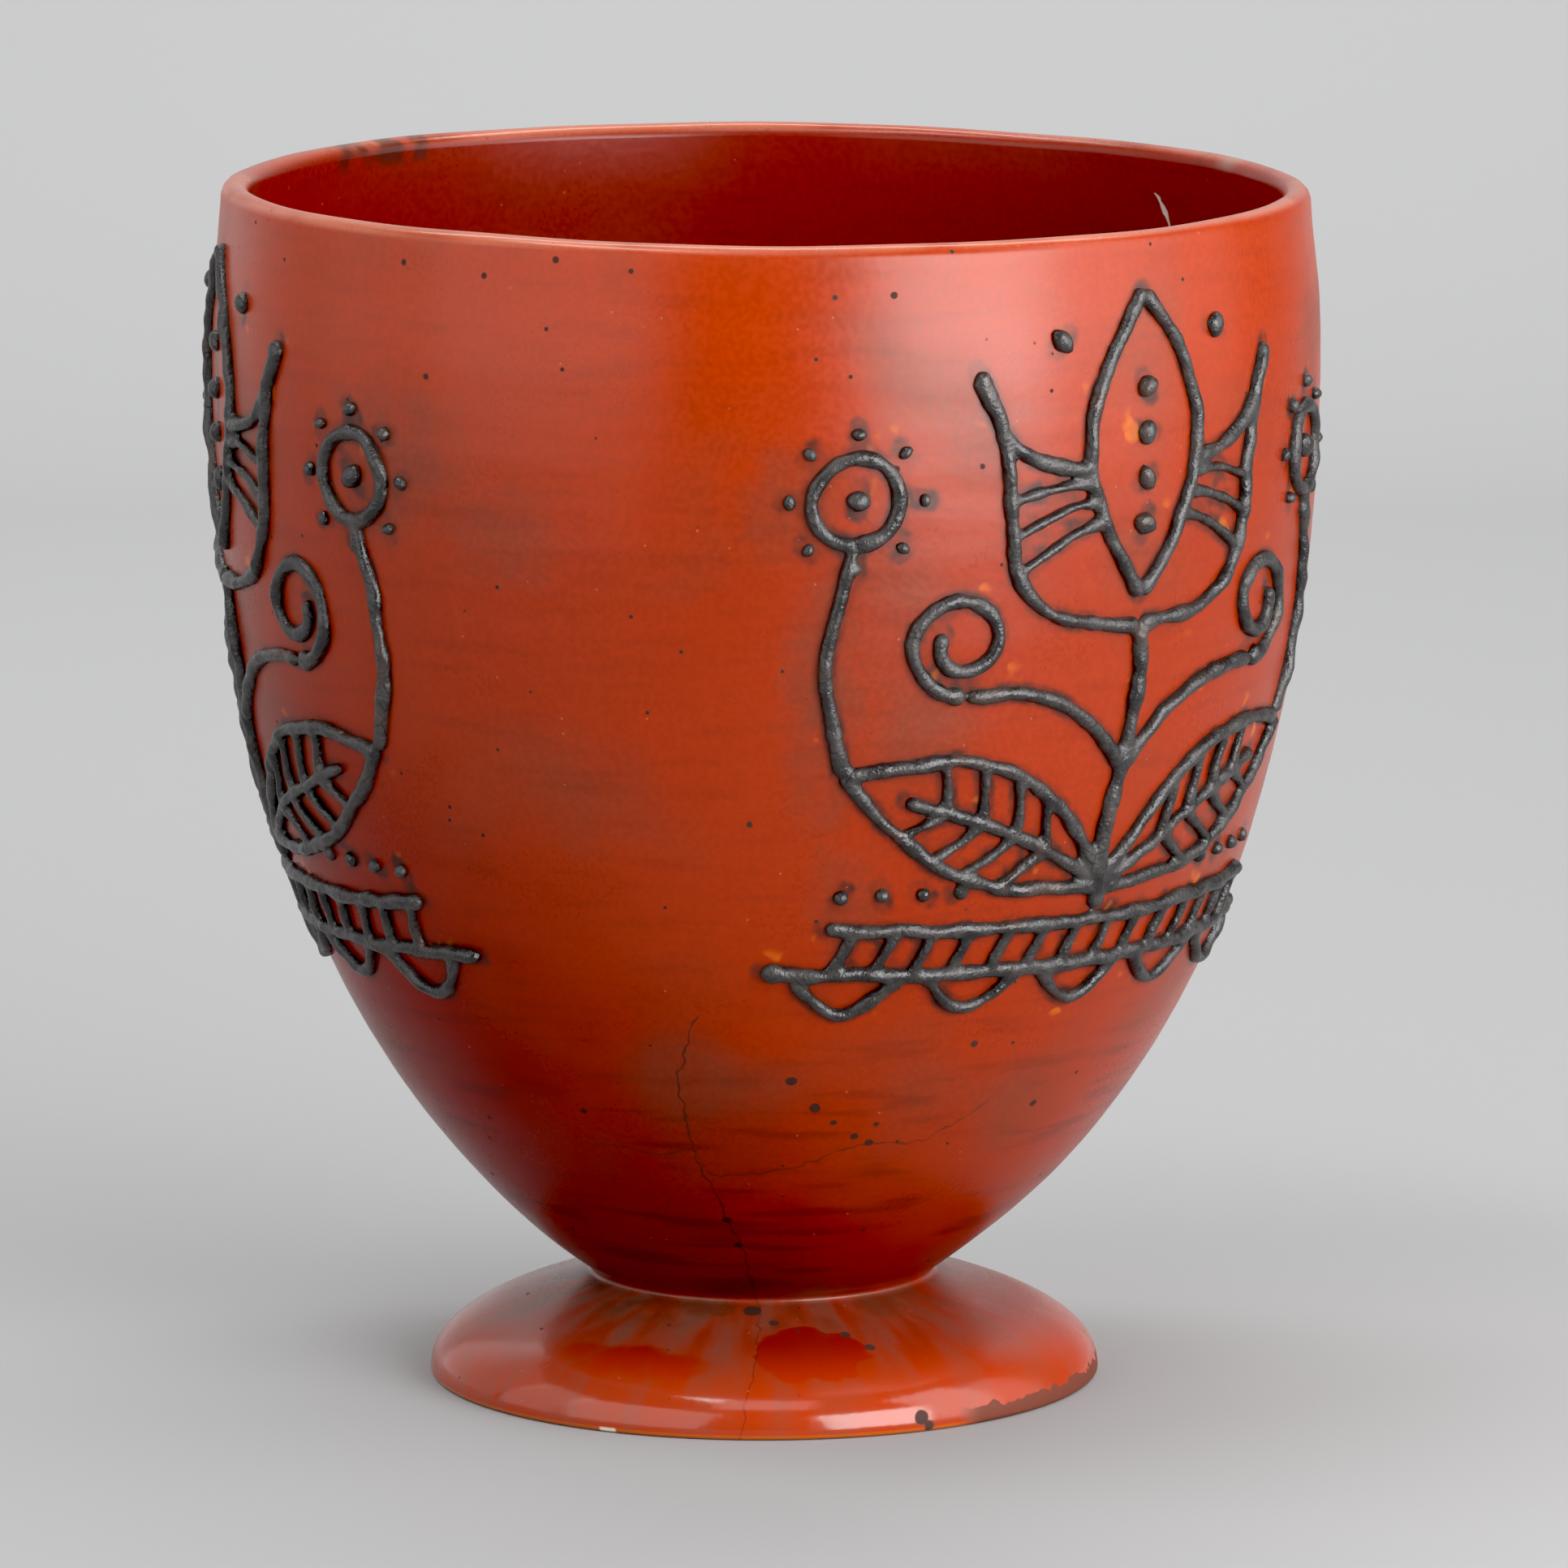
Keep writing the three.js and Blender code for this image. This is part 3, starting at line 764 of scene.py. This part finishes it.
def plant_drawing():
    """One plant's strokes, each a path with its width, and its dots with their radius."""
    strokes = []
    dots = []

    def pair(path, width=1.0):
        strokes.append((path, width))
        strokes.append((mirrored(path), width))

    # The ground: two long lines with scallops below and rungs between.
    ground_end = ground_width / 2
    low = ground_height
    high = low + ground_gap
    strokes.append((bowed((-ground_end, low), (ground_end, low), -ground_sag), 1.0))
    inner_end = ground_end - ground_inset
    strokes.append((bowed((-inner_end, high), (inner_end, high), -ground_sag), 1.0))
    scallop_width = (ground_width - ground_inset) / scallop_count
    for i in range(scallop_count):
        middle = (i - (scallop_count - 1) / 2) * scallop_width
        reach = scallop_width / 2 - scallop_gap
        hem = low - 1 * mm
        strokes.append((bowed((middle - reach, hem), (middle + reach, hem), -scallop_depth), 0.9))
    for i in range(rung_count):
        u = (i - (rung_count - 1) / 2) * rung_step_mm * mm
        strokes.append((bowed((u - rung_lean, low - 1 * mm), (u + rung_lean, high - 1 * mm)), 0.72))

    # The stem, and a veined leaf on each side.
    strokes.append((bowed((0, high), (0, stem_height), 0, 1.2 * mm), 1.15))
    leaf_root = (0, leaf_root_height)
    leaf_tip = (leaf_spread, leaf_tip_height)
    upper_edge = bowed(leaf_root, leaf_tip, leaf_upper_bow)
    lower_edge = bowed(leaf_root, leaf_tip, -leaf_lower_bow)
    midrib = bowed(leaf_root, (leaf_spread * 0.78, 40.5 * mm), 2 * mm)
    pair(upper_edge)
    pair(lower_edge)
    pair(midrib, 0.9)
    for share in (0.34, 0.5, 0.66, 0.82):
        vein_start = midrib(np.array([share]))[0]
        for edge in (upper_edge, lower_edge):
            vein_end = edge(np.array([share * 0.78 + 0.1]))[0]
            pair(bowed(vein_start, vein_end), fine_line)

    # A curl on each side, and a stalk from each leaf's tip to a rosette.
    curl_start = (curl_spread - 2 * mm, stem_height - curl_radius)
    pair(bowed((0, 44 * mm), curl_start, 6 * mm))
    pair(wound((curl_spread, stem_height), curl_radius, -100, 1.35, 0.62))
    pair(bowed(leaf_tip, (rosette_spread, rosette_height - rosette_radius), -5 * mm))
    pair(wound((rosette_spread, rosette_height), rosette_radius, -90, 1.02))

    # The flower: outer petals, a heart and rungs between them.
    flower_root = (0, stem_height)
    petal_tip = (flower_spread, flower_height)
    heart_side = (flower_heart_bulge, flower_height - 20 * mm)
    petal = bowed(flower_root, petal_tip, -14 * mm, -5 * mm)
    heart = bowed((0, stem_height + 6 * mm), (0, flower_tip_height), -flower_heart_bulge)
    pair(petal)
    pair(bowed(petal_tip, heart_side, 6 * mm))
    pair(heart)
    for share in (0.42, 0.52, 0.62):
        rung_start = heart(np.array([share * 0.62]))[0]
        pair(bowed(rung_start, petal(np.array([share]))[0], 1 * mm), fine_line)

    # Dabs in the heart, in and round the rosettes, by the flower and over the ground.
    for i in range(4):
        dots.append(((0, stem_height + (20 + 9 * i) * mm), 2.1 * mm))
    for side in (-1, 1):
        dots.append(((side * rosette_spread, rosette_height), 2.2 * mm))
        dots.append(((side * 20 * mm, flower_height + 5 * mm), 2.1 * mm))
        for i in range(8):
            angle = i * math.pi / 4
            place = (side * rosette_spread + 13 * mm * math.cos(angle),
                     rosette_height + 13 * mm * math.sin(angle))
            dots.append((place, 1.3 * mm))
        for i in range(4):
            dots.append(((side * (32 + 8 * i) * mm, 21.5 * mm), 1.4 * mm))
    return strokes, dots


def on_wall(flat, plant_turn):
    """Points on the wall and the wall's outward directions, for (u, v) in a plant."""
    height = plant_base_height + flat[:, 1]
    radius = np.interp(height, outer_wall[:, 1], outer_wall[:, 0])
    out = np.interp(height, outer_wall[:, 1], wall_slope[:, 1])
    down = np.interp(height, outer_wall[:, 1], wall_slope[:, 0])
    around = plant_turn + flat[:, 0] / radius
    sine, cosine = np.sin(around), -np.cos(around)
    points = np.stack([sine * radius, cosine * radius, height], axis=1)
    normals = np.stack([sine * out, cosine * out, -down], axis=1)
    return thrown(points), normals


def shake(run, size, seed):
    """A steady hand's wavering along a line, from -1 to 1, with waves about size long."""
    return np.array([noise.noise(Vector((s / size, seed * 7.31, seed * 3.17))) * 1.6 for s in run])


hand_waver = 0.5 * mm
waver_length = 10 * mm
steady_start = 4 * mm
arc_points = 9


def bead(path, width, plant_turn, seed):
    """One trailed line as a closed mesh: its points, its faces and its middle line."""
    coarse = path(np.linspace(0, 1, 200))
    length = np.hypot(*np.diff(coarse, axis=0).T).sum()
    count = max(6, int(length / bead_step))
    run = np.linspace(0, length, count)
    flat = evenly(coarse, count)
    loose = np.clip(run / steady_start, 0, 1)
    flat[:, 0] += hand_waver * shake(run, waver_length, seed) * loose
    flat[:, 1] += hand_waver * shake(run, waver_length, seed + 0.5) * loose
    points, normals = on_wall(flat, plant_turn)
    ahead = np.gradient(points, axis=0)
    ahead /= np.linalg.norm(ahead, axis=1)[:, None]
    side = np.cross(ahead, normals)

    # It swells and thins, starts with a blob and ends round.
    swell = 1 + 0.2 * shake(run, 5 * mm, seed + 1) + 0.12 * shake(run, 1.8 * mm, seed + 2)
    blob = 1 + 0.3 * np.exp(-((run - 2 * mm) / (1.8 * mm)) ** 2)
    half = bead_width / 2 * width * swell * blob
    tall = bead_height * (0.55 + 0.45 * width) * (1 + 0.2 * shake(run, 4 * mm, seed + 3))
    from_end = np.minimum(run, length - run)
    cap = np.sqrt(np.clip(1 - (1 - np.clip(from_end / half, 0, 1)) ** 2, 0.02, 1))
    half = half * cap
    tall = tall * cap

    # Each ring is a flattened arch with two points sunk into the wall.
    turns = np.linspace(0, math.pi, arc_points)
    ring_side = np.concatenate([np.cos(turns), [-0.8, 0.8]])
    ring_out = np.concatenate([np.sin(turns) ** 0.8, [0, 0]])
    ring_root = np.array([0.0] * arc_points + [1.0, 1.0])
    lift = ring_out[None] * tall[:, None] - ring_root[None] * bead_root
    across = side[:, None] * (ring_side[None, :, None] * half[:, None, None])
    rings = points[:, None] + across + normals[:, None] * lift[..., None]
    size = len(turns) + 2
    here = np.arange(size)
    after = (here + 1) % size
    faces = []
    for i in range(count - 1):
        low = i * size
        quads = np.stack([here + low, here + low + size, after + low + size, after + low], axis=1)
        faces += quads.tolist()
    faces.append(list(range(size)))
    faces.append([(count - 1) * size + k for k in range(size)][::-1])
    return rings.reshape(-1, 3), faces, points


def dot(place, radius, plant_turn, seed):
    """A dab of slip, as a short fat bead."""
    reach = 0.35 * radius
    angle = seed * 2.4
    step = np.array([math.cos(angle), math.sin(angle)]) * reach
    path = bowed(np.array(place) - step * 3, np.array(place) + step * 3)
    return bead(path, radius * 2 / bead_width, plant_turn, seed)


def joined(parts):
    """Several meshes' points and faces as one."""
    points = np.concatenate([part[0] for part in parts])
    faces = []
    start = 0
    for part in parts:
        faces += [[corner + start for corner in face] for face in part[1]]
        start += len(part[0])
    return points, faces


def melted(name, points, faces, grain):
    """The overlapping beads as one closed skin, a little softened."""
    mesh = bpy.data.meshes.new(name)
    mesh.from_pydata(points.tolist(), [], faces)
    piece = bpy.data.objects.new(name, mesh)
    bpy.context.scene.collection.objects.link(piece)
    remesh = piece.modifiers.new("melt", "REMESH")
    remesh.mode = "VOXEL"
    remesh.voxel_size = grain
    soften = piece.modifiers.new("soften", "SMOOTH")
    soften.factor = 0.5
    soften.iterations = 2
    shaped = bpy.data.meshes.new_from_object(piece.evaluated_get(bpy.context.evaluated_depsgraph_get()))
    piece.modifiers.clear()
    piece.data = shaped
    shaped.name = name
    shaped.polygons.foreach_set("use_smooth", [True] * len(shaped.polygons))
    bpy.data.meshes.remove(mesh)
    return piece


slip_grey = (0.038, 0.034, 0.033, 1)
slip_soot = (0.012, 0.0105, 0.0105, 1)
slip_rust = (0.06, 0.034, 0.024, 1)
slip_cloud_size = 6 * mm
slip_grain_size = 0.7 * mm
slip_lump_size = 1.6 * mm
rust_size = 11 * mm
slip_pit_spacing = 2.6 * mm
slip_pit_kind = (0.34 * mm, 0, 0.5)
hairline_spacing = 9 * mm
slip_specular = 0.6
slip_relief_depth = 0.4 * mm

slip = Finish("black_slip")
slip_clouds = slip.noise(slip_cloud_size, 3)
slip_grain = slip.noise(slip_grain_size, 2)
slip_colour = slip.mix(slip.ramp(slip_clouds, 0.34, 0.66), slip_soot, slip_grey)
slip_colour = slip.mix(slip.ramp(slip_grain, 0.5, 0.7, 0, 0.5), slip_colour, slip_soot)
rust = slip.ramp(slip.noise(rust_size, 3, slip.moved((0.4, 0.2, 0.7))), 0.56, 0.72, 0, 0.6)
slip_colour = slip.mix(rust, slip_colour, slip_rust)
slip_pits = slip.scattered(slip_pit_spacing, slip_pit_kind)[0]
hairline = slip.nodes.new("ShaderNodeTexVoronoi")
hairline.feature = "DISTANCE_TO_EDGE"
hairline.inputs["Scale"].default_value = 1 / hairline_spacing
slip.links.new(slip.place, hairline.inputs["Vector"])
fine_lines = slip.ramp(hairline.outputs["Distance"], 0.008, 0.022, 1, 0)
hair_cracks = slip.product(fine_lines, slip.ramp(slip_clouds, 0.45, 0.55))
slip_colour = slip.mix(slip.math("MAXIMUM", slip_pits, hair_cracks), slip_colour, slip_soot)
slip.plug(slip_colour, slip.shader.inputs["Base Color"])
slip.plug(slip.ramp(slip_clouds, 0.3, 0.7, 0.24, 0.46), slip.shader.inputs["Roughness"])
slip.shader.inputs["Specular IOR Level"].default_value = slip_specular
slip_relief = slip.math("MULTIPLY", slip_grain, 0.45)
slip_relief = slip.math("MULTIPLY_ADD", slip.noise(slip_lump_size, 2), 0.6, slip_relief)
slip.bump(slip_relief, slip_relief_depth)

slip_lines = []
strokes, dots = plant_drawing()
for plant in range(plant_count):
    plant_turn = first_plant + plant * 2 * math.pi / plant_count
    beads = []
    for number, (path, width) in enumerate(strokes):
        beads.append(bead(path, width, plant_turn, plant * 200 + number))
    for number, (place, radius) in enumerate(dots):
        beads.append(dot(place, radius, plant_turn, plant * 200 + 100 + number))
    slip_lines += [one[2] for one in beads]
    points, faces = joined(beads)
    plant_piece = melted(f"slip_plant_{plant + 1}", points, faces, melt_grain)
    plant_piece.data.materials.clear()
    plant_piece.data.materials.append(slip.material)
    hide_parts("footed_bowl")
    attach(plant_piece, "root")

# The glaze is stained, and painted with shadow, along the slip, so each of its points is
# marked with how near it lies to the middle of a line.
far_from_slip = 20 * mm
line_points = np.concatenate(slip_lines)
slip_map = kdtree.KDTree(len(line_points))
for number, point in enumerate(line_points):
    slip_map.insert(point, number)
slip_map.balance()
nearness = []
for vertex in bowl_mesh.vertices:
    found = far_from_slip
    if vertex.co.z > plant_base_height - far_from_slip:
        found = slip_map.find(vertex.co)[2]
    nearness.append(min(found, far_from_slip))
bowl_mesh.attributes.new("slip_near", "FLOAT", "POINT").data.foreach_set("value", nearness)


# A plain pale floor that sweeps up behind the bowl. It is stage, not part of the bowl.
sweep_colour = (0.375, 0.375, 0.377, 1)
sweep_front = -3.2
sweep_back = 1.2
sweep_bend = 0.5
sweep_top = 2.4
sweep_half_width = 3.0

sweep_finish = Finish("paper_sweep")
sweep_finish.plug(sweep_colour, sweep_finish.shader.inputs["Base Color"])
sweep_finish.shader.inputs["Specular IOR Level"].default_value = 0
bend = [
    (sweep_back + sweep_bend * math.sin(a), sweep_bend * (1 - math.cos(a)))
    for a in np.linspace(0, math.pi / 2, 24)
]
sweep_line = [(sweep_front, 0), *bend, (sweep_back + sweep_bend, sweep_top)]
sweep_points = []
sweep_faces = []
for y, z in sweep_line:
    sweep_points += [(-sweep_half_width, y, z), (sweep_half_width, y, z)]
for i in range(len(sweep_line) - 1):
    sweep_faces.append((2 * i, 2 * i + 1, 2 * i + 3, 2 * i + 2))
sweep_mesh = bpy.data.meshes.new("sweep")
sweep_mesh.from_pydata(sweep_points, [], sweep_faces)
sweep_mesh.polygons.foreach_set("use_smooth", [True] * len(sweep_faces))
sweep_mesh.materials.append(sweep_finish.material)
sweep = bpy.data.objects.new("sweep", sweep_mesh)
bpy.context.scene.collection.objects.link(sweep)

# Soft panels stand round the bowl: a bright one at the front right with two dimmer ones
# behind it, a wide pale wall of them at the left, a bright one high at the left and a dim
# one high in front, with a dark gap in front below it. Each is set by its turn round the
# bowl, how wide a turn it fills, its lowest and highest angle and its brightness.
panels = [
    ("right_softbox", 40, 38, -9, 31, 7.3),
    ("right_edge", 75, 30, -8, 50, 2.4),
    ("right_far_edge", 100, 20, -6, 40, 0.95),
    ("left_wall_front", -46, 54, -7, 40, 1.4),
    ("left_wall_side", -87, 28, -7, 40, 0.85),
    ("left_wall_back", -125, 48, -6, 40, 0.4),
    ("left_top_softbox", -58, 66, 63, 73, 8.0),
    ("front_top", 0, 50, 46, 66, 1.6),
]
light_centre = Vector((0, 0, 0.15))
light_distance = 1.1


def panel(name, turn_deg, spread_deg, low_deg, high_deg, radiance):
    """A soft panel that faces the bowl and fills this much of its surroundings."""
    turn, tip = math.radians(turn_deg), math.radians((low_deg + high_deg) / 2)
    away = Vector((math.sin(turn) * math.cos(tip), -math.cos(turn) * math.cos(tip), math.sin(tip)))
    light = bpy.data.lights.new(name, "AREA")
    light.shape = "RECTANGLE"
    light.size = 2 * light_distance * math.cos(tip) * math.tan(math.radians(spread_deg / 2))
    light.size_y = 2 * light_distance * math.tan(math.radians((high_deg - low_deg) / 2))
    light.energy = radiance * 4 * light.size * light.size_y
    lamp = bpy.data.objects.new(name, light)
    lamp.location = light_centre + light_distance * away
    lamp.rotation_euler = (-away).to_track_quat("-Z", "Y").to_euler()
    lamp.visible_camera = False
    bpy.context.scene.collection.objects.link(lamp)


for name, *values in panels:
    panel(name, *values)

# Another panel over the bowl's back lights the sweep behind it.
backdrop_size = (2.2, 0.6)
backdrop_power = 48
backdrop_place = (0, 0.85, 1.9)
backdrop_aim = (0, 0.9, -1.3)
backdrop = bpy.data.lights.new("backdrop_light", "AREA")
backdrop.shape = "RECTANGLE"
backdrop.size, backdrop.size_y = backdrop_size
backdrop.energy = backdrop_power
backdrop_lamp = bpy.data.objects.new("backdrop_light", backdrop)
backdrop_lamp.location = backdrop_place
backdrop_lamp.rotation_euler = Vector(backdrop_aim).to_track_quat("-Z", "Y").to_euler()
backdrop_lamp.visible_camera = False
bpy.context.scene.collection.objects.link(backdrop_lamp)

# The rest of the room is dim and a little cool.
room_colour = (0.95, 0.97, 1, 1)
room_strength = 0.12
world = bpy.data.worlds.new("studio")
world.use_nodes = True
world.node_tree.nodes["Background"].inputs["Color"].default_value = room_colour
world.node_tree.nodes["Background"].inputs["Strength"].default_value = room_strength
bpy.context.scene.world = world
